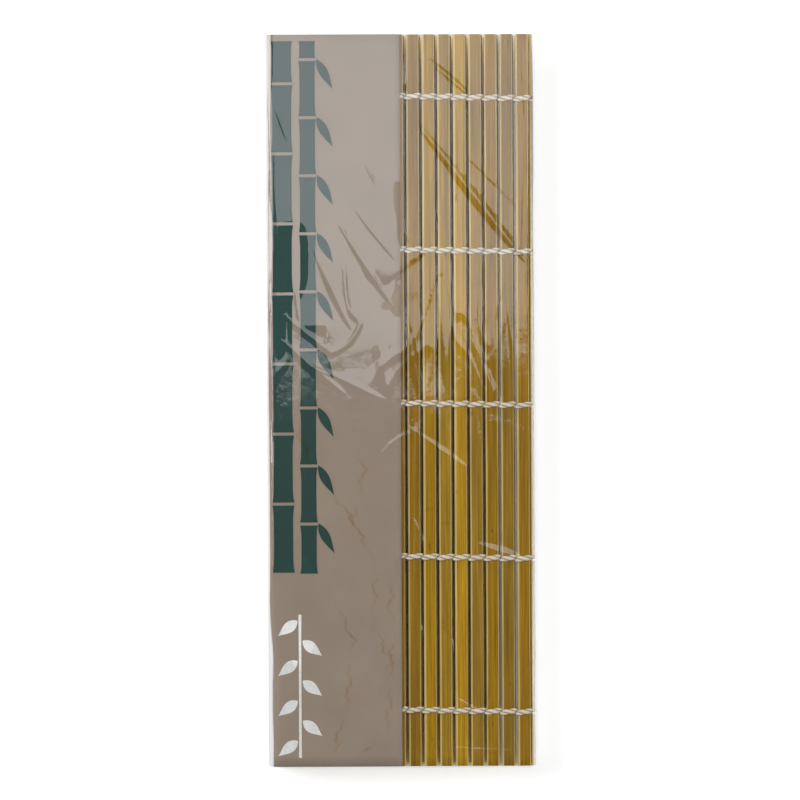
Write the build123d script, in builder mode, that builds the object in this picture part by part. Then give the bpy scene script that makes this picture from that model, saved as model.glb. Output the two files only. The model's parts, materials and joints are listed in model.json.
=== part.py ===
from build123d import *
from math import cos, radians, sin, tan
import os

# Bamboo slats: flat skin face up, bevelled edges, and a narrower back
SLAT_LENGTH = 270.0
SLAT_WIDTH = 4.7
SLAT_THICKNESS = 1.8
SLAT_GAP = 1.06
SKIN_BEVEL = 0.5
BACK_BEVEL = 1.0
EDGE_RISE = 0.07

# How the mat lies in its pack, as slats counted along the chain: the top layer, one slat
# standing in the right fold, the middle layer, two leaning in the left fold, the bottom layer
TOP_SLATS = 14
RIGHT_FOLD_SLATS = 1
MIDDLE_SLATS = 16
LEFT_FOLD_SLATS = 2
BOTTOM_SLATS = 14
HALF_TURN = 180.0

# Cotton strings: five rows of two strands, twined round every slat
STRING_ROWS = 5
ROW_SPACING = 56.6
ROW_SHIFT = -1.1
STRAND_RADIUS = 0.38
STRAND_SIDES = 6
STRAND_CLEARANCE = 0.05
STRAND_SWING = 0.5
FOLD_EASE = 0.13
KNOT_SIZE = 0.9
KNOT_OVERHANG = 0.5

# Wrapper: a folded card round the left half, in a clear film bag
FILM_THICKNESS = 0.1
CARD_THICKNESS = 0.35
CARD_WIDTH = 49.6
CARD_FOLD_RADIUS = 5.5
BAG_EDGE_RADIUS = 2.2
SEAT_CLEARANCE = 0.3
END_CLEARANCE = 0.4

# Sizes that follow from the ones above
PITCH = SLAT_WIDTH + SLAT_GAP
SLAT_COUNT = TOP_SLATS + RIGHT_FOLD_SLATS + MIDDLE_SLATS + LEFT_FOLD_SLATS + BOTTOM_SLATS
RIGHT_TURN = HALF_TURN / (RIGHT_FOLD_SLATS + 1)
LEFT_TURN = HALF_TURN / (LEFT_FOLD_SLATS + 1)
STRAND_OFFSET = SLAT_THICKNESS / 2 + STRAND_RADIUS + STRAND_CLEARANCE
STRING_REACH = STRAND_OFFSET + STRAND_RADIUS
RIGHT_FOLD_RISE = PITCH * sum(sin(radians(RIGHT_TURN * n)) for n in range(1, RIGHT_FOLD_SLATS + 1))
LEFT_FOLD_RISE = PITCH * sum(sin(radians(LEFT_TURN * n)) for n in range(1, LEFT_FOLD_SLATS + 1))
BOTTOM_LEVEL = FILM_THICKNESS + CARD_THICKNESS + SEAT_CLEARANCE + STRING_REACH
MIDDLE_LEVEL = BOTTOM_LEVEL + LEFT_FOLD_RISE
TOP_LEVEL = MIDDLE_LEVEL + RIGHT_FOLD_RISE
CARD_TOP = TOP_LEVEL + STRING_REACH + SEAT_CLEARANCE + CARD_THICKNESS
PACK_HEIGHT = CARD_TOP + FILM_THICKNESS
LEFT_FOLD_REACH = PITCH * sum(max(cos(radians(LEFT_TURN * n)), 0) for n in range(1, LEFT_FOLD_SLATS + 1))
RIGHT_MARGIN = STRING_REACH + SEAT_CLEARANCE + FILM_THICKNESS
LEFT_MARGIN = LEFT_FOLD_REACH + STRING_REACH + SEAT_CLEARANCE + CARD_THICKNESS + FILM_THICKNESS
PACK_WIDTH = LEFT_MARGIN + MIDDLE_SLATS * PITCH + RIGHT_MARGIN
PACK_LEFT = -PACK_WIDTH / 2
PACK_RIGHT = PACK_WIDTH / 2
RIGHT_FOLD_X = PACK_RIGHT - RIGHT_MARGIN
BAG_LENGTH = SLAT_LENGTH + 2 * (END_CLEARANCE + FILM_THICKNESS)


def turn_after(slat):
    """The angle by which the chain turns at the hinge after a slat, in degrees."""
    right_fold_end = TOP_SLATS + RIGHT_FOLD_SLATS
    left_fold_start = right_fold_end + MIDDLE_SLATS
    if TOP_SLATS <= slat <= right_fold_end:
        return -RIGHT_TURN
    if left_fold_start <= slat <= left_fold_start + LEFT_FOLD_SLATS:
        return LEFT_TURN
    return 0.0


def folded_chain():
    """The hinge points from end to end, and each slat's heading, seen along the slats."""
    hinges = [(RIGHT_FOLD_X - TOP_SLATS * PITCH, TOP_LEVEL)]
    headings = []
    heading = 0.0
    for slat in range(1, SLAT_COUNT + 1):
        headings.append(heading)
        x, z = hinges[-1]
        hinges.append((x + PITCH * cos(radians(heading)), z + PITCH * sin(radians(heading))))
        heading += turn_after(slat)
    return hinges, headings


def slat_plane(slat):
    """The plane of a slat's section: X across the slat, Y out of its skin face."""
    heading = radians(HEADINGS[slat - 1])
    (x_start, z_start), (x_end, z_end) = HINGES[slat - 1], HINGES[slat]
    middle = ((x_start + x_end) / 2, 0, (z_start + z_end) / 2)
    return Plane(origin=middle, x_dir=(cos(heading), 0, sin(heading)), z_dir=(0, -1, 0))


def chain_point(hinge, direction, reach, along, y):
    """A point off a hinge: reach along the normal of a heading, and along the heading itself."""
    x, z = HINGES[hinge]
    x += along * cos(radians(direction)) - reach * sin(radians(direction))
    z += along * sin(radians(direction)) + reach * cos(radians(direction))
    return (x, y, z)


def fold_at(hinge):
    """The headings on both sides of a hinge, and half the turn between them in radians."""
    before = HEADINGS[max(hinge - 1, 0)]
    after = HEADINGS[min(hinge, SLAT_COUNT - 1)]
    return before, after, radians(after - before) / 2


def string_corner(hinge, side, y):
    """Where a strand turns into the gap: side 1 is over the skin faces, -1 over the backs."""
    before, after, half_turn = fold_at(hinge)
    reach = STRAND_OFFSET / cos(half_turn)
    if side * half_turn < 0:
        reach = STRAND_OFFSET - FOLD_EASE
    return chain_point(hinge, (before + after) / 2, side * reach, 0, y)


def string_shoulders(hinge, side, y):
    """Where a strand starts and ends its way round the outside of a fold, one point per slat."""
    before, after, half_turn = fold_at(hinge)
    if side * half_turn >= 0:
        return [], []
    half_turn = abs(half_turn)
    cut = (STRAND_OFFSET / cos(half_turn) - STRAND_OFFSET + FOLD_EASE) / sin(half_turn)
    past = STRAND_OFFSET * tan(half_turn) - cut
    reach = side * STRAND_OFFSET
    return [chain_point(hinge, before, reach, past, y)], [chain_point(hinge, after, reach, -past, y)]


def strand_route(first_side):
    """A strand's corners: over one slat, through the gap, under the next, and so on."""
    side = first_side
    swing = -first_side * STRAND_SWING
    route = [chain_point(0, HEADINGS[0], 0, 0, swing), string_corner(0, side, swing)]
    for hinge in range(1, SLAT_COUNT + 1):
        swing = -swing
        arriving, _ = string_shoulders(hinge, side, swing)
        route += arriving + [string_corner(hinge, side, swing)]
        if hinge < SLAT_COUNT:
            side = -side
            _, leaving = string_shoulders(hinge, side, swing)
            route += [string_corner(hinge, side, swing)] + leaving
    route.append(chain_point(SLAT_COUNT, HEADINGS[-1], 0, 0, swing))
    return route


HINGES, HEADINGS = folded_chain()
os.makedirs("parts", exist_ok=True)

# Slats, numbered from the free end of the top layer
for slat_number in range(1, SLAT_COUNT + 1):
    with BuildPart() as slat:
        with BuildSketch(slat_plane(slat_number)):
            with BuildLine():
                Polyline(
                    (-SLAT_WIDTH / 2 + SKIN_BEVEL, SLAT_THICKNESS / 2),
                    (SLAT_WIDTH / 2 - SKIN_BEVEL, SLAT_THICKNESS / 2),
                    (SLAT_WIDTH / 2, EDGE_RISE),
                    (SLAT_WIDTH / 2 - BACK_BEVEL, -SLAT_THICKNESS / 2),
                    (-SLAT_WIDTH / 2 + BACK_BEVEL, -SLAT_THICKNESS / 2),
                    (-SLAT_WIDTH / 2, EDGE_RISE),
                    close=True,
                )
            make_face()
        extrude(amount=SLAT_LENGTH / 2, both=True)
    slat.part.label = f"slat_{slat_number:02d}"
    export_step(slat.part, f"parts/{slat.part.label}.step")


def strand_solid(first_side):
    """One strand: a six-sided tube with mitred corners along its whole route."""
    corners = strand_route(first_side)
    with BuildPart() as strand:
        with BuildLine():
            Polyline(*corners)
        start = Vector(*corners[0])
        with BuildSketch(Plane(origin=start, z_dir=Vector(*corners[1]) - start)):
            RegularPolygon(radius=STRAND_RADIUS, side_count=STRAND_SIDES)
        sweep(transition=Transition.RIGHT)
    return strand.part


# Strings: the same twined pair in every row, tied off in a knot beside each end slat
front_strand = strand_solid(1)
back_strand = strand_solid(-1)
with BuildPart() as string_pair:
    add(front_strand)
    add(back_strand)
    for knot_x, knot_z in (HINGES[0], HINGES[-1]):
        with Locations((knot_x, 0, knot_z)):
            Box(KNOT_SIZE, 2 * (STRAND_SWING + KNOT_OVERHANG), KNOT_SIZE)

for row_number in range(1, STRING_ROWS + 1):
    row_y = ROW_SHIFT + ROW_SPACING * (row_number - (STRING_ROWS + 1) / 2)
    with BuildPart() as string_row:
        with Locations((0, row_y, 0)):
            add(string_pair.part)
    string_row.part.label = f"string_row_{row_number}"
    export_step(string_row.part, f"parts/{string_row.part.label}.step")


def pack_section(inset, right, left_radius, right_radius):
    """A sketch of the pack's section, inset from the film's outer face, with rounded sides."""
    left = PACK_LEFT + inset
    top = PACK_HEIGHT - inset
    bottom = inset
    with BuildSketch(Plane.XZ) as section:
        with BuildLine():
            Line((left + left_radius, bottom), (right - right_radius, bottom))
            if right_radius:
                RadiusArc((right - right_radius, bottom), (right, bottom + right_radius), -right_radius)
            Line((right, bottom + right_radius), (right, top - right_radius))
            if right_radius:
                RadiusArc((right, top - right_radius), (right - right_radius, top), -right_radius)
            Line((right - right_radius, top), (left + left_radius, top))
            RadiusArc((left + left_radius, top), (left, top - left_radius), -left_radius)
            Line((left, top - left_radius), (left, bottom + left_radius))
            RadiusArc((left, bottom + left_radius), (left + left_radius, bottom), -left_radius)
        make_face()
    return section.sketch


# Card: one sheet folded round the left side, a leaf in front and a leaf behind
card_edge = PACK_LEFT + CARD_WIDTH
card_inner = FILM_THICKNESS + CARD_THICKNESS
with BuildPart() as card:
    with BuildSketch(Plane.XZ):
        add(pack_section(FILM_THICKNESS, card_edge, CARD_FOLD_RADIUS, 0))
        inner_radius = CARD_FOLD_RADIUS - CARD_THICKNESS
        add(pack_section(card_inner, card_edge, inner_radius, 0), mode=Mode.SUBTRACT)
    extrude(amount=SLAT_LENGTH / 2, both=True)
card.part.label = "card"
export_step(card.part, "parts/card.step")

# Bag: the back film lies flat underneath, the front film goes over the top and both sides
with BuildPart() as bag_back:
    with BuildSketch(Plane.XZ):
        add(pack_section(0, PACK_RIGHT, CARD_FOLD_RADIUS + FILM_THICKNESS, BAG_EDGE_RADIUS))
        with Locations((0, FILM_THICKNESS + PACK_HEIGHT / 2)):
            Rectangle(PACK_WIDTH, PACK_HEIGHT, mode=Mode.SUBTRACT)
    extrude(amount=BAG_LENGTH / 2, both=True)
bag_back.part.label = "bag_back"
export_step(bag_back.part, "parts/bag_back.step")

with BuildPart() as bag_front:
    with BuildSketch(Plane.XZ):
        add(pack_section(0, PACK_RIGHT, CARD_FOLD_RADIUS + FILM_THICKNESS, BAG_EDGE_RADIUS))
        inner_right = PACK_RIGHT - FILM_THICKNESS
        inner_edge = BAG_EDGE_RADIUS - FILM_THICKNESS
        add(pack_section(FILM_THICKNESS, inner_right, CARD_FOLD_RADIUS, inner_edge), mode=Mode.SUBTRACT)
        with Locations((0, FILM_THICKNESS / 2)):
            Rectangle(PACK_WIDTH, FILM_THICKNESS, mode=Mode.SUBTRACT)
    extrude(amount=BAG_LENGTH / 2, both=True)
    with BuildSketch(Plane.XZ.offset(BAG_LENGTH / 2 - FILM_THICKNESS)):
        add(pack_section(0, PACK_RIGHT, CARD_FOLD_RADIUS + FILM_THICKNESS, BAG_EDGE_RADIUS))
        with Locations((0, FILM_THICKNESS / 2)):
            Rectangle(PACK_WIDTH, FILM_THICKNESS, mode=Mode.SUBTRACT)
    extrude(amount=FILM_THICKNESS)
bag_front.part.label = "bag_front"
export_step(bag_front.part, "parts/bag_front.step")
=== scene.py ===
import json
import math

import bpy
import numpy as np
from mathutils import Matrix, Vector, noise


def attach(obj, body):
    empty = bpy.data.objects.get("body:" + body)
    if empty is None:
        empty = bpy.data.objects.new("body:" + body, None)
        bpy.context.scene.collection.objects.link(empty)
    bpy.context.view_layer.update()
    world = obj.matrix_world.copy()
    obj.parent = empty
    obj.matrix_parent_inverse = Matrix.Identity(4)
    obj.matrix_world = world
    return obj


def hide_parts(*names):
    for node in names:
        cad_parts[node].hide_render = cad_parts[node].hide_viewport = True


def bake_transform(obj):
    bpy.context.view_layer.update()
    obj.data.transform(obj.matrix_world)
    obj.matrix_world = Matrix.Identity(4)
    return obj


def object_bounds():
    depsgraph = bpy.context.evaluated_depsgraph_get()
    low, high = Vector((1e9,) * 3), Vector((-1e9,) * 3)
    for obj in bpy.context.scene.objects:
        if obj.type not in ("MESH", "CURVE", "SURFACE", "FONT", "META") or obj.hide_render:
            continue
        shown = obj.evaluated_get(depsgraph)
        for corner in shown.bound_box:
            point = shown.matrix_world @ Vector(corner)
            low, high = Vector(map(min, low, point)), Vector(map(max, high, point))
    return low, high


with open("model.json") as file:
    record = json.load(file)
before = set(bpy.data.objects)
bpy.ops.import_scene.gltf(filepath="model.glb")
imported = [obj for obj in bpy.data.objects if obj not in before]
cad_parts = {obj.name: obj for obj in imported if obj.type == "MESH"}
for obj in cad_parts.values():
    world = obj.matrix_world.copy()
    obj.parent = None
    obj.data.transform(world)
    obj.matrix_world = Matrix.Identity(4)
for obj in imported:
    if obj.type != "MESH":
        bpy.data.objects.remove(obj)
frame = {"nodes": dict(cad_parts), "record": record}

CAD_LOW, CAD_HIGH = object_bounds()
MM = 0.001

# Sizes of the mat and its pack, the same as the solids'
SLAT_LENGTH = 270 * MM
SLAT_WIDTH = 4.7 * MM
SLAT_THICKNESS = 1.8 * MM
PITCH = 5.76 * MM
EDGE_RISE = 0.07 * MM
BACK_BEVEL = 1.0 * MM
SLAT_COUNT = 47
TOP_SLATS = 14
RIGHT_FOLD = 15
LEFT_FOLD = 31
BOTTOM_FIRST = 34
ROWS = 5
ROW_SPACING = 56.6 * MM
ROW_SHIFT = -1.1 * MM
CARD_THICKNESS = 0.35 * MM
CARD_WIDTH = 49.6 * MM
FOLD_TIGHT = 2.3 * MM
FOLD_SOFT = 5.0 * MM
LAYER_ASIDE = 0.55 * MM
FILM_THICKNESS = 0.1 * MM
BAG_EDGE_RADIUS = 2.2 * MM

# How the photograph is framed
PIXEL = 0.3690 * MM
PHOTO_SIZE = 800
PHOTO_X_OF_CENTRE = 401.5
PHOTO_Y_OF_CENTRE = 400.3
LENS = 200.0
SENSOR = 36.0
LEAN = math.radians(-0.26)

# Colours as they show on screen, from 0 to 255
SKIN_TONES = (
    (150, 112, 18), (176, 134, 6), (160, 126, 28), (184, 142, 20),
    (160, 124, 36), (158, 118, 8), (146, 112, 28), (160, 118, 16),
)
CORE_COLOUR = (232, 208, 132)
STRING_COLOUR = (250, 242, 222)
# Painted shade, laid into the grooves between the string's plies
PAINTED_GROOVE_SHADE = (150, 122, 88)
CARD_COLOUR = (158, 142, 124)
PRINT_GREEN = (6, 60, 52)
PRINT_WHITE = (236, 236, 232)
CLEAR = (253, 253, 253)
# Painted light: an orange tint laid into the clear film along thin crinkles
PAINTED_LIGHT_AMBER = (238, 205, 180)


def linear(colour, alpha=1.0):
    """A screen colour as the linear one that shaders take."""
    parts = [c / 255 for c in colour]
    return tuple(c / 12.92 if c <= 0.04045 else ((c + 0.055) / 1.055) ** 2.4 for c in parts) + (alpha,)


# Chain of slats, read from the joints: hinge n lies between slats n and n + 1
HINGES = {}
for joint in frame["record"]["behaviour"]["joints"]:
    if joint["type"] == "hinge":
        HINGES[int(joint["name"][-2:])] = np.array([joint["pos_m"][0], joint["pos_m"][2]])
HINGES[0] = 2 * HINGES[1] - HINGES[2]
LAST_JOINT = max(HINGES)
HINGES[SLAT_COUNT] = HINGES[LAST_JOINT] + np.array([(SLAT_COUNT - LAST_JOINT) * PITCH, 0])
for before, after in ((RIGHT_FOLD, LEFT_FOLD), (LAST_JOINT, SLAT_COUNT)):
    for n in range(before + 1, after):
        share = (n - before) / (after - before)
        HINGES[n] = HINGES[before] * (1 - share) + HINGES[after] * share
BODY_OF = {node: body for body, nodes in frame["record"]["behaviour"]["bodies"].items() for node in nodes}


def slat_name(number):
    return f"slat_{number:02d}"


def slat_axes(number):
    """A slat's middle, the direction across it and the direction out of its skin face, as (x, z)."""
    start, end = HINGES[number - 1], HINGES[number]
    across = (end - start) / np.linalg.norm(end - start)
    return (start + end) / 2, across, np.array([-across[1], across[0]])


def aside(number):
    """How far a slat of the hidden layers lies off the one above it, so that the gaps don't line up."""
    if RIGHT_FOLD + 1 < number < LEFT_FOLD:
        return LAYER_ASIDE
    return -LAYER_ASIDE if number > BOTTOM_FIRST else 0


def on_slat(number, along, out, y):
    """A point in a slat's own directions, in the row frame."""
    middle, across, normal = slat_axes(number)
    x, z = middle + across * along + normal * out
    return np.array([x + aside(number), y, z])


# Meshes
def new_object(name, vertices, faces, materials, face_materials=None, smooth=True):
    """A mesh object from plain lists, with one material index per face."""
    mesh = bpy.data.meshes.new(name)
    mesh.from_pydata([tuple(v) for v in vertices], [], [tuple(f) for f in faces])
    for material in materials:
        mesh.materials.append(material)
    if face_materials is not None:
        mesh.polygons.foreach_set("material_index", list(face_materials))
    mesh.polygons.foreach_set("use_smooth", [smooth] * len(mesh.polygons))
    mesh.update()
    obj = bpy.data.objects.new(name, mesh)
    bpy.context.scene.collection.objects.link(obj)
    return obj


def grid_faces(rows, columns, closed=False):
    """Quads over a grid of points, row by row; closed joins each row's last point to its first."""
    faces = []
    for r in range(rows - 1):
        for c in range(columns if closed else columns - 1):
            d = (c + 1) % columns
            faces.append((r * columns + c, r * columns + d, (r + 1) * columns + d, (r + 1) * columns + c))
    return faces


def smoothed(points, times=3):
    """Corners cut off a line of points, its ends kept."""
    points = np.array(points, float)
    for _ in range(times):
        near = 0.75 * points[:-1] + 0.25 * points[1:]
        far = 0.25 * points[:-1] + 0.75 * points[1:]
        middle = np.stack([near, far], axis=1).reshape(-1, 3)
        points = np.concatenate([points[:1], middle[1:-1], points[-1:]])
    return points


def resampled(points, count):
    """The line of points as count points at even distances."""
    lengths = np.linalg.norm(np.diff(points, axis=0), axis=1)
    along = np.concatenate([[0], np.cumsum(lengths)])
    at = np.linspace(0, along[-1], count)
    return np.stack([np.interp(at, along, points[:, i]) for i in range(3)], axis=1)


def cord_tube(points, radius, turns, waist=1.0, sides=14, lobe=0.46, out=None):
    """A two-ply cord along a line: two lobes that turn, squeezed half way and pressed flat along out."""
    points = np.array(points)
    tangents = np.gradient(points, axis=0)
    tangents /= np.linalg.norm(tangents, axis=1)[:, None]
    normal = np.cross(tangents[0], [0, 1, 0])
    if np.linalg.norm(normal) < 1e-6:
        normal = np.array([1.0, 0, 0])
    vertices, plies = [], []
    angles = np.arange(sides) * 2 * math.pi / sides
    for i, (point, tangent) in enumerate(zip(points, tangents)):
        normal = normal - tangent * normal.dot(tangent)
        normal /= np.linalg.norm(normal)
        other = np.cross(tangent, normal)
        share = i / (len(points) - 1)
        squeezed = 1 - (1 - waist) * math.sin(math.pi * share) ** 4
        reach = np.abs(np.cos(angles - turns * 2 * math.pi * share)) ** 0.8
        plies.extend(reach)
        reach = radius * squeezed * (1 - lobe + lobe * 1.35 * reach)
        ring = np.outer(np.cos(angles) * reach, normal) + np.outer(np.sin(angles) * reach, other)
        if out is not None:
            ring -= np.outer(ring @ out, out) * (1 - STRAND_PRESS)
        vertices.extend(point + ring)
    faces = grid_faces(len(points), sides, closed=True)
    faces.append(tuple(range(sides))[::-1])
    last = (len(points) - 1) * sides
    faces.append(tuple(range(last, last + sides)))
    return vertices, faces, plies


def cord_object(name, tubes):
    """Several cords as one object, which keeps how far out on a ply each point lies; the string's material
    uses this as the mask for its painted groove shade.
    """
    vertices, faces, plies = [], [], []
    for tube_vertices, tube_faces, tube_plies in tubes:
        start = len(vertices)
        vertices.extend(tube_vertices)
        faces.extend([tuple(i + start for i in f) for f in tube_faces])
        plies.extend(tube_plies)
    obj = new_object(name, vertices, faces, [COTTON])
    layer = obj.data.attributes.new("ply", "FLOAT", "POINT")
    layer.data.foreach_set("value", np.array(plies, np.float32))
    return obj


# Materials
class Shader:
    """A node material with short ways to add and join nodes."""

    def __init__(self, name):
        self.material = bpy.data.materials.new(name)
        self.material.use_nodes = True
        self.tree = self.material.node_tree
        self.main = self.tree.nodes["Principled BSDF"]
        self.output = self.tree.nodes["Material Output"]

    def add(self, kind, **settings):
        node = self.tree.nodes.new(kind)
        for key, value in settings.items():
            setattr(node, key, value)
        return node

    def join(self, source, target):
        self.tree.links.new(source, target)

    def place(self, stretch):
        """Object coordinates, scaled."""
        where = self.add("ShaderNodeTexCoord")
        scaled = self.add("ShaderNodeMapping")
        scaled.inputs["Scale"].default_value = stretch
        self.join(where.outputs["Object"], scaled.inputs["Vector"])
        return scaled.outputs["Vector"]

    def noise(self, stretch, scale, detail=4.0, roughness=0.6):
        texture = self.add("ShaderNodeTexNoise")
        texture.inputs["Scale"].default_value = scale
        texture.inputs["Detail"].default_value = detail
        texture.inputs["Roughness"].default_value = roughness
        self.join(self.place(stretch), texture.inputs["Vector"])
        return texture.outputs["Fac"]

    def range(self, source, low, high, out_low, out_high):
        node = self.add("ShaderNodeMapRange")
        for key, value in (("From Min", low), ("From Max", high), ("To Min", out_low), ("To Max", out_high)):
            node.inputs[key].default_value = value
        self.join(source, node.inputs["Value"])
        return node.outputs["Result"]

    def mix(self, mode, factor, first, second):
        """Two colours mixed; each may be a socket or a plain colour."""
        node = self.add("ShaderNodeMix", data_type="RGBA", blend_type=mode)
        for value, socket in ((factor, node.inputs[0]), (first, node.inputs[6]), (second, node.inputs[7])):
            if hasattr(value, "node"):
                self.join(value, socket)
            else:
                socket.default_value = value
        return node.outputs[2]

    def math(self, operation, first, second=None):
        node = self.add("ShaderNodeMath", operation=operation)
        self.join(first, node.inputs[0])
        if second is not None:
            self.join(second, node.inputs[1])
        return node.outputs[0]

    def bump(self, height, distance):
        node = self.add("ShaderNodeBump")
        node.inputs["Distance"].default_value = distance
        node.inputs["Strength"].default_value = 1.0
        self.join(height, node.inputs["Height"])
        self.join(node.outputs["Normal"], self.main.inputs["Normal"])


def bamboo_skin():
    """The smooth outer face: each slat its own tone, with fine grain, mottling and small specks."""
    s = Shader("bamboo_skin")
    tone = s.add("ShaderNodeAttribute", attribute_name="tone")
    grain = s.noise((1, 0.012, 1), 2600.0)
    mottle = s.noise((1, 0.10, 1), 160.0, detail=3.0)
    specks = s.noise((1, 0.30, 1), 520.0, detail=2.0)
    colour = s.mix("MULTIPLY", 1.0, tone.outputs["Color"], s.range(grain, 0.32, 0.68, 0.66, 1.34))
    colour = s.mix("MULTIPLY", 1.0, colour, s.range(mottle, 0.3, 0.7, 0.82, 1.16))
    colour = s.mix("MIX", s.range(specks, 0.715, 0.745, 0.0, 0.75), colour, linear((88, 56, 24)))
    s.join(colour, s.main.inputs["Base Color"])
    s.main.inputs["Roughness"].default_value = 0.45
    s.main.inputs["Specular IOR Level"].default_value = 0.09
    s.bump(grain, 0.00005)
    return s.material


def bamboo_core():
    """The pale split sides, back and ends, with coarser fibres."""
    s = Shader("bamboo_core")
    tone = s.add("ShaderNodeAttribute", attribute_name="tone")
    fibre = s.noise((1, 0.02, 1), 2000.0)
    pale = s.mix("MIX", 0.22, linear(CORE_COLOUR), tone.outputs["Color"])
    colour = s.mix("MULTIPLY", 1.0, pale, s.range(fibre, 0.3, 0.7, 0.72, 1.16))
    s.join(colour, s.main.inputs["Base Color"])
    s.main.inputs["Roughness"].default_value = 0.68
    s.main.inputs["Specular IOR Level"].default_value = 0.2
    s.bump(fibre, 0.00008)
    return s.material


def cotton():
    """The twisted string: cream, matt, with fine fibres, and painted shade in the grooves between its plies.
    """
    s = Shader("cotton_string")
    fibre = s.noise((1, 1, 1), 5200.0)
    tint = s.noise((1, 1, 1), 260.0, detail=2.0)
    colour = s.mix("MULTIPLY", 1.0, linear(STRING_COLOUR), s.range(fibre, 0.3, 0.7, 0.78, 1.08))
    colour = s.mix("MULTIPLY", 1.0, colour, s.range(tint, 0.3, 0.7, 0.88, 1.05))
    ply = s.add("ShaderNodeAttribute", attribute_name="ply")
    # Painted shade: towards the groove between the two plies the colour turns to a darker brown
    colour = s.mix("MIX", s.range(ply.outputs["Fac"], 0.10, 0.72, 0.0, 1.0), linear(PAINTED_GROOVE_SHADE), colour)
    s.join(colour, s.main.inputs["Base Color"])
    s.main.inputs["Roughness"].default_value = 0.92
    s.main.inputs["Sheen Weight"].default_value = 0.25
    s.bump(fibre, 0.00012)
    return s.material


def card_board():
    """The wrapper's card: warm grey, faintly mottled, with a soft finish."""
    s = Shader("card_grey")
    pulp = s.noise((1, 1, 1), 2400.0)
    cloud = s.noise((1, 1, 1), 42.0, detail=3.0)
    colour = s.mix("MULTIPLY", 1.0, linear(CARD_COLOUR), s.range(pulp, 0.3, 0.7, 0.95, 1.04))
    colour = s.mix("MULTIPLY", 1.0, colour, s.range(cloud, 0.3, 0.7, 0.95, 1.06))
    s.join(colour, s.main.inputs["Base Color"])
    s.main.inputs["Roughness"].default_value = 0.55
    s.bump(pulp, 0.00002)
    return s.material


def ink(name, colour):
    """Printed ink on the card, very slightly uneven."""
    s = Shader(name)
    cover = s.noise((1, 1, 1), 900.0)
    shown = s.mix("MULTIPLY", 1.0, linear(colour), s.range(cover, 0.3, 0.7, 0.9, 1.08))
    s.join(shown, s.main.inputs["Base Color"])
    s.main.inputs["Roughness"].default_value = 0.5
    return s.material


def clear_film(name, roughness, facing_share, slant_share):
    """Clear film: mostly see-through, mirroring a little, and more at a slant; its see-through colour carries
    painted orange light along thin crinkles where the mesh marks them.
    """
    s = Shader(name)
    s.main.inputs["Base Color"].default_value = (0.93, 0.95, 1.0, 1)
    s.main.inputs["Metallic"].default_value = 1.0
    s.main.inputs["Roughness"].default_value = roughness
    fine = s.noise((1, 0.6, 1), 260.0, detail=3.0)
    s.bump(fine, 0.00006)
    through = s.add("ShaderNodeBsdfTransparent")
    # Painted light: along the marked crinkles the see-through colour turns orange
    amber = s.add("ShaderNodeAttribute", attribute_name="amber")
    tint = s.mix("MIX", amber.outputs["Fac"], linear(CLEAR), linear(PAINTED_LIGHT_AMBER))
    s.join(tint, through.inputs["Color"])
    facing = s.add("ShaderNodeFresnel")
    facing.inputs["IOR"].default_value = 1.5
    share = s.range(facing.outputs["Fac"], 0.04, 1.0, facing_share, slant_share)
    blend = s.add("ShaderNodeMixShader")
    s.join(share, blend.inputs["Fac"])
    s.join(through.outputs["BSDF"], blend.inputs[1])
    s.join(s.main.outputs["BSDF"], blend.inputs[2])
    s.join(blend.outputs["Shader"], s.output.inputs["Surface"])
    return s.material


SKIN, CORE, COTTON, CARD = bamboo_skin(), bamboo_core(), cotton(), card_board()
FILM = clear_film("clear_film", roughness=0.07, facing_share=0.085, slant_share=0.55)
BACK_FILM = clear_film("back_film", roughness=0.35, facing_share=0.04, slant_share=0.4)
GREEN, WHITE = ink("ink_green", PRINT_GREEN), ink("ink_white", PRINT_WHITE)


# Slats: ranges in mm of what differs from slat to slat, and sizes that don't
FIRST_SEED = 100
LEFT_BEVEL, RIGHT_BEVEL, CROWN = (0.52, 0.74), (0.25, 0.45), (0.05, 0.12)
TONE_SPREAD = (0.96, 1.04)
EDGE_TRIM = 0.04 * MM
FACE_INSET = 0.07 * MM
FACE_WAVE, BEVEL_WAVE = 0.10 * MM, 0.18 * MM
NODE_STEP = 0.4 * MM
NODE_RISE, NODE_REACH = 0.03 * MM, 0.7 * MM
NODE_SHADE, NODE_SHADE_REACH = 0.16, 0.5 * MM
SLAT_STEPS = 61
SKIN_SPANS = 4


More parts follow.
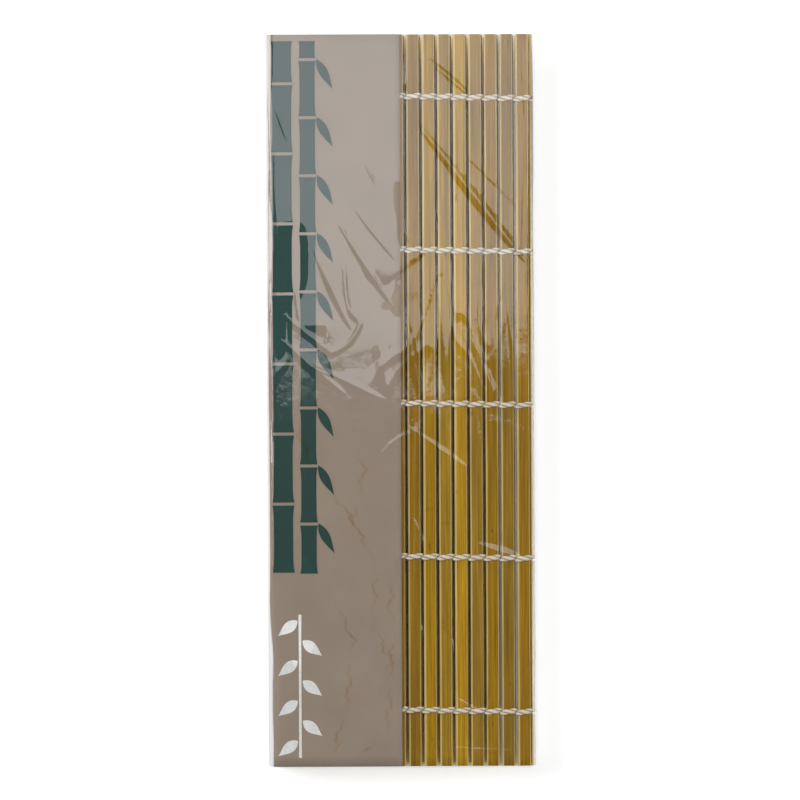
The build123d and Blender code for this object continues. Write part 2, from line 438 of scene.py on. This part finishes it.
def slat(number):
    """One bamboo slat: crowned skin face, uneven pale bevels, a narrower back, and one node."""
    chance = np.random.default_rng(FIRST_SEED + number)
    half = SLAT_WIDTH / 2
    left_bevel = chance.uniform(*LEFT_BEVEL) * MM
    right_bevel = chance.uniform(*RIGHT_BEVEL) * MM
    crown = chance.uniform(*CROWN) * MM
    node_at = chance.uniform(-0.5, 0.5) * SLAT_LENGTH
    ys = list(np.linspace(-SLAT_LENGTH / 2, SLAT_LENGTH / 2, SLAT_STEPS))
    ys += [node_at + step * NODE_STEP for step in range(-3, 4)]
    ys = sorted(y for y in ys if abs(y) <= SLAT_LENGTH / 2)
    top = SLAT_THICKNESS / 2
    vertices, tones = [], []
    tone = np.array(linear(SKIN_TONES[(number + 1) % len(SKIN_TONES)])[:3])
    tone = tone * chance.uniform(*TONE_SPREAD)
    for y in ys:
        wave = FACE_WAVE * noise.noise(Vector((number * 3.7, y * 14, 0)))
        left = half - EDGE_TRIM * (1 + noise.noise(Vector((number * 5.1, y * 26, 4))))
        right = half - EDGE_TRIM * (1 + noise.noise(Vector((number * 7.3, y * 26, 9))))
        uneven = BEVEL_WAVE * noise.noise(Vector((number * 2.3, y * 40, 2)))
        near = abs(y - node_at)
        face = top - FACE_INSET + NODE_RISE * math.exp(-(near / NODE_REACH) ** 2)
        section = [
            (-left + left_bevel + uneven, face - crown),
            (-half * 0.45, face - crown * 0.25),
            (0, face),
            (half * 0.45, face - crown * 0.25),
            (right - right_bevel + uneven, face - crown),
            (right, EDGE_RISE),
            (right - BACK_BEVEL, -top),
            (-left + BACK_BEVEL, -top),
            (-left, EDGE_RISE),
        ]
        shade = 1 - NODE_SHADE * math.exp(-(near / NODE_SHADE_REACH) ** 2)
        for along, out in section:
            vertices.append(on_slat(number, along + (wave if abs(along) < half * 0.9 else 0), out, y))
            tones.append(tuple(tone * shade) + (1,))
    count = len(section)
    faces = grid_faces(len(ys), count, closed=True)
    kinds = [0 if f % count < SKIN_SPANS else 1 for f in range(len(faces))]
    faces += [tuple(range(count))[::-1], tuple(range((len(ys) - 1) * count, len(ys) * count))]
    kinds += [1, 1]
    faces = [f[::-1] for f in faces]
    obj = new_object(f"bamboo_{number:02d}", vertices, faces, [SKIN, CORE], kinds)
    layer = obj.data.color_attributes.new("tone", "FLOAT_COLOR", "POINT")
    layer.data.foreach_set("color", np.array(tones, np.float32).ravel())
    for polygon in obj.data.polygons:
        polygon.use_smooth = polygon.material_index == 0
    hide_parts(slat_name(number))
    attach(obj, BODY_OF[slat_name(number)])
    return obj


# Strings
STRAND_RADIUS = 0.88 * MM
STRAND_PRESS = 0.7
STRAND_OUT = SLAT_THICKNESS / 2 + 0.42 * MM
STRAND_SWING = 0.48 * MM
ROW_DROP = -0.13 * MM
TURNS_PER_GAP = 1
STRAND_WAIST = 0.6
STRAND_STEPS, END_STEPS, TAIL_STEPS, KNOT_STEPS = 40, 14, 16, 48
KNOT_LOOP, KNOT_SPREAD, KNOT_TURNS = 0.22 * MM, 0.3 * MM, 5
TAIL_HALF, TAIL_LENGTH, TAIL_TURNS = 3 * MM, 7 * MM, 3


def row_height(row, place):
    """A string row's height at a place along the chain; the rows drop a little towards the right."""
    middle = ROW_SHIFT + ROW_SPACING * (row - (ROWS - 1) / 2)
    if place <= TOP_SLATS:
        return middle + ROW_DROP * (place - TOP_SLATS / 2)
    return middle + ROW_DROP * TOP_SLATS / 2 * (SLAT_COUNT - place) / (SLAT_COUNT - TOP_SLATS)


def strand_through_gap(hinge, row, first):
    """One strand from the middle of a slat, through the gap, to the middle of the next slat."""
    side = 1 if (hinge % 2 == 1) == first else -1
    swing = side * STRAND_SWING
    low, high = row_height(row, hinge - 0.5), row_height(row, hinge + 0.5)
    at_gap = (low + high) / 2
    out = side * STRAND_OUT
    x, z = HINGES[hinge]
    x += (aside(hinge) + aside(hinge + 1)) / 2
    points = [
        on_slat(hinge, 0, out, low),
        on_slat(hinge, 0.22 * PITCH, out, low + 0.45 * swing),
        on_slat(hinge, 0.40 * PITCH, out, at_gap + 0.95 * swing),
        on_slat(hinge, 0.48 * PITCH, out * 0.45, at_gap + swing),
        np.array([x, at_gap + swing, z]),
        on_slat(hinge + 1, -0.48 * PITCH, -out * 0.45, at_gap + swing),
        on_slat(hinge + 1, -0.40 * PITCH, -out, at_gap + 0.95 * swing),
        on_slat(hinge + 1, -0.22 * PITCH, -out, high + 0.45 * swing),
        on_slat(hinge + 1, 0, -out, high),
    ]
    return resampled(smoothed(points), STRAND_STEPS)


def strings_between(hinge):
    """All rows' strands in one gap, shaped to the two slats beside it; they move with the slats only where
    both slats belong to one body, and otherwise stay where they are.
    """
    tubes = []
    out = slat_axes(hinge)[2] + slat_axes(hinge + 1)[2]
    out = np.array([out[0], 0, out[1]]) / np.linalg.norm(out)
    for row in range(ROWS):
        for first in (True, False):
            line = strand_through_gap(hinge, row, first)
            tubes.append(cord_tube(line, STRAND_RADIUS, TURNS_PER_GAP, waist=STRAND_WAIST, out=out))
    obj = cord_object(f"strings_{hinge:02d}_{hinge + 1:02d}", tubes)
    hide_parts(*[f"string_row_{row + 1}" for row in range(ROWS)])
    body, next_body = BODY_OF[slat_name(hinge)], BODY_OF[slat_name(hinge + 1)]
    if body == next_body:
        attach(obj, body)
        return obj
    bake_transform(obj)
    return obj


def strings_at_end(number, side):
    """Both strands from the middle of an end slat to its edge, and the knot that ties them off."""
    tubes = []
    place = number - 0.5
    for row in range(ROWS):
        y = row_height(row, place)
        for face in (1, -1):
            first = on_slat(number, 0, face * STRAND_OUT, y)
            edge = on_slat(number, side * 0.40 * PITCH, face * STRAND_OUT, y)
            end = on_slat(number, side * 0.5 * PITCH, 0, y)
            line = resampled(smoothed([first, edge, end]), END_STEPS)
            tubes.append(cord_tube(line, STRAND_RADIUS * 0.8, 1))
        knot = []
        for step in range(KNOT_STEPS + 1):
            a = 2 * math.pi * step / KNOT_STEPS
            along = (math.sin(a) + 2 * math.sin(2 * a)) * KNOT_LOOP
            up = (math.cos(a) - 2 * math.cos(2 * a)) * KNOT_LOOP
            drop = math.sin(3 * a) * KNOT_SPREAD
            knot.append(on_slat(number, side * 0.5 * PITCH + along * 0.6, up, y - drop))
        tubes.append(cord_tube(np.array(knot), STRAND_RADIUS * 0.7, KNOT_TURNS, lobe=0.2))
        tail = [
            on_slat(number, side * 0.5 * PITCH, 0, y),
            on_slat(number, side * 0.55 * PITCH, 0.2 * MM, y - TAIL_HALF),
            on_slat(number, side * 0.48 * PITCH, -0.1 * MM, y - TAIL_LENGTH),
        ]
        tubes.append(cord_tube(resampled(smoothed(tail), TAIL_STEPS), STRAND_RADIUS * 0.8, TAIL_TURNS))
    obj = cord_object(f"knots_{number:02d}", tubes)
    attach(obj, BODY_OF[slat_name(number)])
    return obj


# Wrapper
PACK_LEFT, PACK_RIGHT = CAD_LOW[0], CAD_HIGH[0]
PACK_TOP = CAD_HIGH[2]
CARD_EDGE = PACK_LEFT + CARD_WIDTH
CARD_TOP = PACK_TOP - FILM_THICKNESS
SLAT_FACE = slat_axes(1)[0][1] + SLAT_THICKNESS / 2
SOFTER_FROM, SOFTER_OVER = 590, 80
FOLD_STEPS, BACK_STEPS, FRONT_STEPS, CARD_ROWS = 10, 12, 24, 64
CARD_WAVE = 0.10 * MM
CARD_EDGE_ZONE, CARD_EDGE_WAVE = 2 * MM, 0.3
CARD_BODY = 0.9 * CARD_THICKNESS


def arc(centre, radius, start, end, steps):
    """Points round an arc in the section, angles in degrees."""
    angles = [math.radians(start + (end - start) * i / steps) for i in range(steps + 1)]
    return [(centre[0] + radius * math.cos(a), centre[1] + radius * math.sin(a)) for a in angles]


def photo_place(px, py):
    """A pixel of the photograph as a place on the pack, in metres."""
    return (px - PHOTO_X_OF_CENTRE) * PIXEL, -(py - PHOTO_Y_OF_CENTRE) * PIXEL


def photo_row(y):
    """The photograph's row at a height on the pack."""
    return PHOTO_Y_OF_CENTRE - y / PIXEL


def fold_radius(y):
    """The radius of the left fold: tight, and softer towards the closed end."""
    share = min(1, max(0, (photo_row(y) - SOFTER_FROM) / SOFTER_OVER))
    return FOLD_TIGHT + (FOLD_SOFT - FOLD_TIGHT) * share * share * (3 - 2 * share)


def card_section(y):
    """The card's outer face as (x, z) points, from the back leaf round the fold to the front leaf."""
    left = PACK_LEFT + FILM_THICKNESS
    low, high, r = FILM_THICKNESS, CARD_TOP, fold_radius(y)
    flat = CARD_EDGE - left - r
    path = [(CARD_EDGE - flat * i / BACK_STEPS, low) for i in range(BACK_STEPS)]
    path += arc((left + r, low + r), r, 270, 180, FOLD_STEPS)
    path += arc((left + r, high - r), r, 180, 90, FOLD_STEPS)
    path += [(left + r + flat * i / FRONT_STEPS, high) for i in range(1, FRONT_STEPS + 1)]
    return np.array(path)


def card():
    """The card, a thin folded sheet with a fold at the left and slight waves."""
    ys = np.linspace(-SLAT_LENGTH / 2, SLAT_LENGTH / 2, CARD_ROWS)
    vertices = []
    for y in ys:
        path = card_section(y)
        inward = np.gradient(path, axis=0)
        inward /= np.linalg.norm(inward, axis=1)[:, None]
        inward = np.stack([inward[:, 1], -inward[:, 0]], axis=1)
        ring = []
        for (x, z), (nx, nz) in zip(path, inward):
            wave = CARD_WAVE * (1 + noise.noise(Vector((x * 60, y * 22, z * 60))))
            if x > CARD_EDGE - CARD_EDGE_ZONE:
                wave *= CARD_EDGE_WAVE
            ring.append((x + nx * wave, y, z + nz * wave))
        back = [(x + nx * CARD_BODY, y, z + nz * CARD_BODY) for (x, y, z), (nx, nz) in zip(ring, inward)]
        vertices += ring + back[::-1]
    count = 2 * len(path)
    faces = grid_faces(len(ys), count, closed=True)
    faces += [tuple(range(count))[::-1], tuple(range((len(ys) - 1) * count, len(ys) * count))]
    obj = new_object("card_sleeve", vertices, [f[::-1] for f in faces], [CARD])
    for polygon in obj.data.polygons:
        polygon.use_smooth = polygon.index % count < len(path) - 1
    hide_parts("card")
    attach(obj, "wrapper")
    return obj


# Print on the card: lengths in the photograph's pixels, turns in degrees from straight down
PRINT_RISE = 0.02 * MM
STEMS = ((283.0, 9.5, 44, 70), (308.5, 7.5, 20, 58))
PRINT_TOP, PRINT_BOTTOM = 41, 576
SEGMENT_GAP, SHORTEST_SEGMENT, LEAFLESS_END = 3, 8, 30
SEGMENT_FLARE, SEGMENT_STEPS = 0.16, 12
LEAFY_STEM, LEAF_LENGTH, LEAF_WIDTH, LEAF_TURN, LEAF_STEPS = STEMS[1][0], 34, 9, 28, 16
TWIG_MIDDLE, TWIG_TOP, TWIG_BOTTOM, TWIG_STEP, TWIG_HALF_WIDTH = 299, 614, 757, 20, 1.3
TWIG_LEAF_LENGTH, TWIG_LEAF_WIDTH, TWIG_LEAF_TURN, TWIG_LEAF_OFF = 25, 11, 52, 2.4


def printed(name, outlines, material):
    """Flat shapes of ink just above the card's front leaf."""
    vertices, faces = [], []
    for outline in outlines:
        start = len(vertices)
        vertices += [(x, y, CARD_TOP + PRINT_RISE) for x, y in outline]
        faces.append(tuple(range(start, start + len(outline))))
    obj = new_object(name, vertices, faces, [material], smooth=False)
    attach(obj, "wrapper")
    return obj


def culm_segment(middle_x, top_y, bottom_y, half_width):
    """One joint of a bamboo stem, wider at its ends."""
    outline = []
    for side, order in ((1, range(SEGMENT_STEPS + 1)), (-1, range(SEGMENT_STEPS, -1, -1))):
        for i in order:
            share = i / SEGMENT_STEPS
            flare = 1 + SEGMENT_FLARE * (2 * share - 1) ** 6
            outline.append((middle_x + side * half_width * flare, top_y + (bottom_y - top_y) * share))
    return outline[::-1]


def leaf(px, py, length, width, turn):
    """A pointed leaf from its stalk, lengths in the photograph's pixels."""
    x, y = photo_place(px, py)
    length, width, angle = length * PIXEL, width * PIXEL, math.radians(turn)
    outline = []
    for side, order in ((1, range(LEAF_STEPS + 1)), (-1, range(LEAF_STEPS - 1, 0, -1))):
        for i in order:
            share = i / LEAF_STEPS
            half = width / 2 * math.sin(math.pi * share ** 0.75) ** 1.2
            u, v = side * half, -length * share
            outline.append((
                x + u * math.cos(angle) - v * math.sin(angle),
                y + u * math.sin(angle) + v * math.cos(angle),
            ))
    return outline


def card_print():
    """Two plain bamboo stems with leaves in dark green, and a white twig of leaves below them."""
    green = []
    for middle, half_width, first, segment in STEMS:
        top = PRINT_TOP
        bottom = PRINT_TOP + first
        while top < PRINT_BOTTOM - SHORTEST_SEGMENT:
            x, y_top = photo_place(middle, top)
            _, y_bottom = photo_place(middle, min(bottom, PRINT_BOTTOM) - SEGMENT_GAP)
            green.append(culm_segment(x, y_top, y_bottom, half_width * PIXEL))
            if middle == LEAFY_STEM and bottom < PRINT_BOTTOM - LEAFLESS_END:
                stalk = middle + half_width * (1 + SEGMENT_FLARE) + 0.8
                green.append(leaf(stalk, bottom - 2, LEAF_LENGTH, LEAF_WIDTH, LEAF_TURN))
            top, bottom = bottom, bottom + segment
    printed("print_green", green, GREEN)
    x, y_top = photo_place(TWIG_MIDDLE, TWIG_TOP)
    _, y_bottom = photo_place(TWIG_MIDDLE, TWIG_BOTTOM)
    white = [culm_segment(x, y_top, y_bottom, TWIG_HALF_WIDTH * PIXEL)]
    for step, at in enumerate(range(TWIG_TOP + 6, TWIG_BOTTOM - 16, TWIG_STEP)):
        side = 1 if step % 2 else -1
        stalk = TWIG_MIDDLE + side * TWIG_LEAF_OFF
        white.append(leaf(stalk, at, TWIG_LEAF_LENGTH, TWIG_LEAF_WIDTH, side * TWIG_LEAF_TURN))
    printed("print_white", white, WHITE)


# Creases in the film: start and end in the photograph's pixels, height and half width in mm
CREASES = (
    (404, 104, 527, 264, 0.36, 2.5), (446, 132, 524, 214, 0.13, 0.9), (424, 54, 474, 98, 0.20, 1.5),
    (400, 40, 416, 112, 0.16, 1.3), (520, 36, 524, 150, 0.14, 0.9), (522, 150, 519, 262, 0.14, 0.9),
    (404, 215, 416, 262, 0.16, 1.2), (430, 190, 452, 262, 0.14, 1.0), (404, 300, 420, 400, 0.26, 2.0),
    (436, 262, 450, 400, 0.30, 2.6), (468, 330, 505, 420, 0.26, 2.2), (505, 300, 512, 400, 0.24, 1.6),
    (330, 210, 396, 310, 0.22, 1.5), (345, 196, 398, 262, 0.14, 0.9), (310, 240, 352, 330, 0.20, 2.0),
    (272, 330, 345, 395, 0.24, 2.4), (268, 300, 330, 352, 0.20, 1.6), (300, 360, 390, 402, 0.18, 1.6),
    (372, 300, 392, 420, 0.26, 3.2), (360, 152, 378, 188, 0.14, 0.8), (272, 100, 292, 150, 0.12, 0.8),
    (405, 425, 470, 470, 0.18, 1.4), (474, 404, 482, 474, 0.16, 1.6), (474, 542, 524, 562, 0.26, 2.6),
    (410, 600, 426, 650, 0.18, 1.0), (442, 592, 452, 650, 0.16, 0.9), (500, 600, 508, 700, 0.14, 0.9),
    (405, 505, 432, 560, 0.18, 1.2), (440, 690, 500, 724, 0.18, 1.4), (405, 745, 530, 752, 0.16, 1.0),
)

# Crinkled areas: middle and reach in the photograph's pixels, and how much
CRINKLED = (
    (372, 290, 42, 70, 1.0), (300, 330, 60, 60, 0.6),
    (470, 330, 80, 80, 0.7), (440, 470, 120, 60, 0.35),
)

# Thin lines of painted orange light along crinkles low on the pack, in the photograph's pixels
PAINTED_LIGHT_REACH, PAINTED_LIGHT_STRENGTH = 0.5 * MM, 0.7
PAINTED_LIGHT_LINES = (
    ((352, 428), (364, 470), (352, 520), (376, 566), (371, 622), (393, 668), (385, 728), (362, 752)),
    ((296, 424), (312, 470), (338, 500), (352, 520)),
    ((398, 560), (388, 604), (394, 640), (380, 690)),
    ((330, 590), (352, 640), (346, 700), (330, 760)),
    ((404, 566), (430, 588), (436, 612), (452, 640), (456, 690)),
    ((410, 690), (424, 706), (420, 740)),
)


def painted_light_share(places):
    """How strongly each place lies on one of the thin lines of painted orange light along the film's
    crinkles.
    """
    places = np.array(places)
    x = places[:, 0] + 0.8 * MM * np.sin(places[:, 1] * 800) + 0.4 * MM * np.sin(places[:, 1] * 2300 + 1)
    y = places[:, 1] + 0.5 * MM * np.sin(places[:, 0] * 1500)
    nearest = np.full(len(places), 1.0)
    for line in PAINTED_LIGHT_LINES:
        for start, end in zip(line[:-1], line[1:]):
            ax, ay = photo_place(*start)
            bx, by = photo_place(*end)
            share = ((x - ax) * (bx - ax) + (y - ay) * (by - ay)) / ((bx - ax) ** 2 + (by - ay) ** 2)
            share = np.clip(share, 0, 1)
            nearest = np.minimum(nearest, np.hypot(x - ax - share * (bx - ax), y - ay - share * (by - ay)))
    fade = 0.55 + 0.45 * np.sin(places[:, 1] * 310 + places[:, 0] * 170)
    return np.clip(1 - nearest / PAINTED_LIGHT_REACH, 0, 1) * fade * PAINTED_LIGHT_STRENGTH


GAPS = [HINGES[n][0] for n in range(1, TOP_SLATS) if HINGES[n][0] > CARD_EDGE]
GAP_SAG, GAP_REACH = 0.07 * MM, 0.36 * MM
RIDGE_X, RIDGE_TOP, RIDGE_BOTTOM = 272.2, 100, 640
RIDGE_RISE, RIDGE_OUTER, RIDGE_INNER = 0.32 * MM, 0.55 * MM, 1.5 * MM
CRINKLE_LINES, CRINKLE_LUMPS, CRINKLE_WIDTH = 0.20 * MM, 0.24 * MM, 0.12
CREASE_WANDER = 0.5 * MM


def left_ridge(x, row, mid):
    """A thin wavy ridge of film beside the left fold: steep on its outer side, gentle on its inner."""
    if not RIDGE_TOP < row < RIDGE_BOTTOM:
        return 0
    wave = 1.1 * math.sin(row / 31) + 0.5 * math.sin(row / 11.7 + 1) + 0.8 * mid
    off = x - photo_place(RIDGE_X + wave, row)[0]
    reach = RIDGE_OUTER if off < 0 else RIDGE_INNER
    fade = min(1, (row - RIDGE_TOP) / 60, (RIDGE_BOTTOM - row) / 30)
    return RIDGE_RISE * fade * max(0, 1 - abs(off) / reach)


def film_height(x, y):
    """How high the film lies over the pack: slack waves, fine crinkles in places, and long creases."""
    slow = noise.noise(Vector((x * 24, y * 11, 1.7)))
    mid = noise.noise(Vector((x * 66 + slow, y * 34, 7.7)))
    line = noise.noise(Vector((x * 52 + 1.5 * slow, y * 34 + 1.2 * mid, 3.1)))
    height = PACK_TOP + (0.12 + 0.42 * slow + 0.13 * mid) * MM
    if x > CARD_EDGE:
        gap = min(abs(x - at) for at in GAPS)
        height -= GAP_SAG * math.exp(-(gap / GAP_REACH) ** 2)
    height += left_ridge(x, photo_row(y), mid)
    crinkle = 0
    for cx, cy, rx, ry, much in CRINKLED:
        ax, ay = photo_place(cx, cy)
        crinkle += much * math.exp(-((x - ax) / (rx * PIXEL)) ** 2 - ((y - ay) / (ry * PIXEL)) ** 2)
    height += CRINKLE_LINES * crinkle * max(0, 1 - abs(line) / CRINKLE_WIDTH)
    height += CRINKLE_LUMPS * crinkle * noise.noise(Vector((x * 75, y * 58, 5.5)))
    for x0, y0, x1, y1, rise, half in CREASES:
        ax, ay = photo_place(x0, y0)
        bx, by = photo_place(x1, y1)
        length = math.hypot(bx - ax, by - ay)
        ux, uy = (bx - ax) / length, (by - ay) / length
        along = (x - ax) * ux + (y - ay) * uy
        if not 0 < along < length:
            continue
        taper = math.sin(math.pi * (along / length) ** 1.3) ** 0.6
        off = abs((x - ax) * -uy + (y - ay) * ux + CREASE_WANDER * mid)
        reach = half * MM * taper
        if off < reach:
            height += rise * MM * taper * (1 - off / reach)
    return height


FILM_ROWS, FILM_COLUMN_STEP, GAP_COLUMN_STEP = 541, 0.4 * MM, 0.15 * MM
FACE_SHARES = (0.2, 0.3, 0.4, 0.5, 0.6, 0.7, 0.8)
FILM_PAST_SLATS, LAST_COLUMN_INSET, INNER_PAST_FOLD = 0.45 * MM, 0.1 * MM, 1 * MM
ARC_STEPS, LEFT_ARC_STEPS, LEFT_FLAT_STEPS = 8, 20, 14
TUCK_ANGLE = 8
CRUMPLE = 0.22 * MM


def film_columns(inner, outer):
    """Where the film's columns lie across the pack: even on the card, and close together at each gap."""
    columns = list(np.arange(inner, CARD_EDGE, FILM_COLUMN_STEP))
    for gap in [GAPS[0] - PITCH] + GAPS:
        columns += [gap + step * GAP_COLUMN_STEP for step in range(-4, 5)]
        columns += [gap + PITCH * share for share in FACE_SHARES]
    return sorted(x for x in columns if inner <= x < outer)


def bag_front():
    """The front film: a creased sleeve over the top and both sides, open at both ends."""
    left, right, low = PACK_LEFT, PACK_RIGHT, FILM_THICKNESS
    r_right = BAG_EDGE_RADIUS
    inner = left + FOLD_SOFT + INNER_PAST_FOLD
    columns = film_columns(inner, right - r_right - LAST_COLUMN_INSET)
    rest = arc((right - r_right, PACK_TOP - r_right), r_right, 90, 0, ARC_STEPS)
    rest += arc((right - r_right, low + r_right), r_right, 0, TUCK_ANGLE - 90, ARC_STEPS)
    half = SLAT_LENGTH / 2 + FILM_PAST_SLATS
    ys = np.linspace(-half, half, FILM_ROWS)
    vertices = []
    for y in ys:
        r_left = fold_radius(y) + FILM_THICKNESS
        start = left + r_left
        path = arc((start, low + r_left), r_left, 270 - TUCK_ANGLE, 180, ARC_STEPS)
        path += arc((start, PACK_TOP - r_left), r_left, 180, 90, LEFT_ARC_STEPS)
        flat = inner - start
        path += [(start + flat * i / LEFT_FLAT_STEPS, PACK_TOP) for i in range(1, LEFT_FLAT_STEPS)]
        path += [(x, PACK_TOP) for x in columns] + rest
        for x, z in path:
            if z > PACK_TOP - 0.6 * r_left:
                top = film_height(x, y)
                ease = min(1, (x - left) / (1.3 * r_left), (right - x) / (1.6 * r_right))
                z = z - (PACK_TOP - top) * max(ease, 0)
            crumple = CRUMPLE * min(noise.noise(Vector((x * 90, y * 45, z * 90))) - 0.3, 0)
            if x > right - 0.4 * r_right:
                x += crumple
            elif x < left + 0.4 * r_left:
                x -= crumple
            vertices.append((x, y, z))
    faces = [f[::-1] for f in grid_faces(len(ys), len(path))]
    obj = new_object("film_front", vertices, faces, [FILM])
    # Where the film carries its painted orange light along crinkles
    layer = obj.data.attributes.new("amber", "FLOAT", "POINT")
    layer.data.foreach_set("value", painted_light_share(vertices).astype(np.float32))
    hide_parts("bag_front")
    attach(obj, "wrapper")
    return obj


for slat_number in range(1, SLAT_COUNT + 1):
    slat(slat_number)
for hinge_number in range(1, SLAT_COUNT):
    strings_between(hinge_number)
strings_at_end(1, -1)
strings_at_end(SLAT_COUNT, 1)
card()
card_print()
bag_front()
for material_slot in frame["nodes"]["bag_back"].material_slots:
    material_slot.material = BACK_FILM


# Stage
FLOOR_SIZE, FLOOR_DROP, FLOOR_GREY, FLOOR_GLOW = 6.0, 0.15 * MM, 0.86, 0.5
FLOOR_FEATHER = 0.6 * MM
FOOTPRINT = (("X", CAD_HIGH[0] + 0.3 * MM), ("Y", CAD_HIGH[1] + 1.4 * MM))
ROOM_LOW, ROOM_HIGH, ROOM_SIDE, ROOM_TOP = 0.08, 0.4, 1.0, 0.08

# Each lamp's name, place, target, width, height and brightness
LAMPS = (
    ("key", (-1.1, 0.5, 1.1), (0, 0, 0), 1.0, 1.3, 5.0),
    ("fill", (1.2, -0.3, 1.0), (0, 0, 0), 0.9, 1.2, 3.4),
    ("sheen", (0.0, 0.20, 1.25), (0.0, 0.20, 0), 0.55, 0.34, 1.7),
)


def floor():
    """A pale floor that keeps the shadow and shows white, but not from under the pack."""
    corners = [(x * FLOOR_SIZE, y * FLOOR_SIZE, -FLOOR_DROP) for x, y in ((-1, -1), (1, -1), (1, 1), (-1, 1))]
    s = Shader("floor_white")
    s.main.inputs["Base Color"].default_value = (FLOOR_GREY, FLOOR_GREY, FLOOR_GREY, 1)
    s.main.inputs["Roughness"].default_value = 0.9
    rays = s.add("ShaderNodeLightPath").outputs
    seen = s.math("MAXIMUM", rays["Is Camera Ray"], rays["Is Glossy Ray"])
    seen = s.math("MAXIMUM", seen, rays["Is Transmission Ray"])
    s.main.inputs["Emission Color"].default_value = (1, 1, 1, 1)
    strength = s.range(seen, 0, 1, 0, FLOOR_GLOW)
    where = s.add("ShaderNodeTexCoord")
    apart = s.add("ShaderNodeSeparateXYZ")
    s.join(where.outputs["Object"], apart.inputs[0])
    outside = []
    for axis, reach in FOOTPRINT:
        away = s.math("ABSOLUTE", apart.outputs[axis])
        outside.append(s.range(away, reach - FLOOR_FEATHER, reach, 0, 1))
    glow = s.math("MULTIPLY", strength, s.math("MAXIMUM", *outside))
    s.join(glow, s.main.inputs["Emission Strength"])
    obj = new_object("floor", corners, [(0, 1, 2, 3)], [s.material], smooth=False)


def soft_light(name, place, target, width, height, radiance):
    """A rectangular lamp of a plain brightness, turned to a target, that the camera can't see."""
    lamp = bpy.data.lights.new(name, "AREA")
    lamp.shape = "RECTANGLE"
    lamp.size, lamp.size_y = width, height
    lamp.energy = radiance * math.pi * width * height
    obj = bpy.data.objects.new(name, lamp)
    obj.location = place
    obj.rotation_euler = (Vector(target) - Vector(place)).to_track_quat("-Z", "Y").to_euler()
    obj.visible_camera = False
    bpy.context.scene.collection.objects.link(obj)


def camera():
    """Straight above the pack, far off with a long lens, leaning as the photograph does."""
    lens = bpy.data.cameras.new("camera")
    lens.lens, lens.sensor_width = LENS, SENSOR
    obj = bpy.data.objects.new("camera", lens)
    distance = PHOTO_SIZE * PIXEL * LENS / SENSOR
    x, y = photo_place(PHOTO_SIZE / 2, PHOTO_SIZE / 2)
    obj.location = (x, y, SLAT_FACE + distance)
    obj.rotation_euler = (0, 0, LEAN)
    bpy.context.scene.collection.objects.link(obj)
    bpy.context.scene.camera = obj


def room():
    """A white room, bright at the horizon and dim overhead."""
    world = bpy.data.worlds.new("room")
    world.use_nodes = True
    nodes, links = world.node_tree.nodes, world.node_tree.links
    sky = nodes.new("ShaderNodeTexCoord")
    upward = nodes.new("ShaderNodeSeparateXYZ")
    fall = nodes.new("ShaderNodeMapRange")
    fall.inputs["From Min"].default_value = ROOM_LOW
    fall.inputs["From Max"].default_value = ROOM_HIGH
    fall.inputs["To Min"].default_value = ROOM_SIDE
    fall.inputs["To Max"].default_value = ROOM_TOP
    links.new(sky.outputs["Generated"], upward.inputs[0])
    links.new(upward.outputs["Z"], fall.inputs["Value"])
    links.new(fall.outputs["Result"], nodes["Background"].inputs["Strength"])
    nodes["Background"].inputs["Color"].default_value = (1, 1, 1, 1)
    bpy.context.scene.world = world


floor()
camera()
room()
for lamp in LAMPS:
    soft_light(*lamp)
bpy.context.scene.view_settings.view_transform = "Standard"
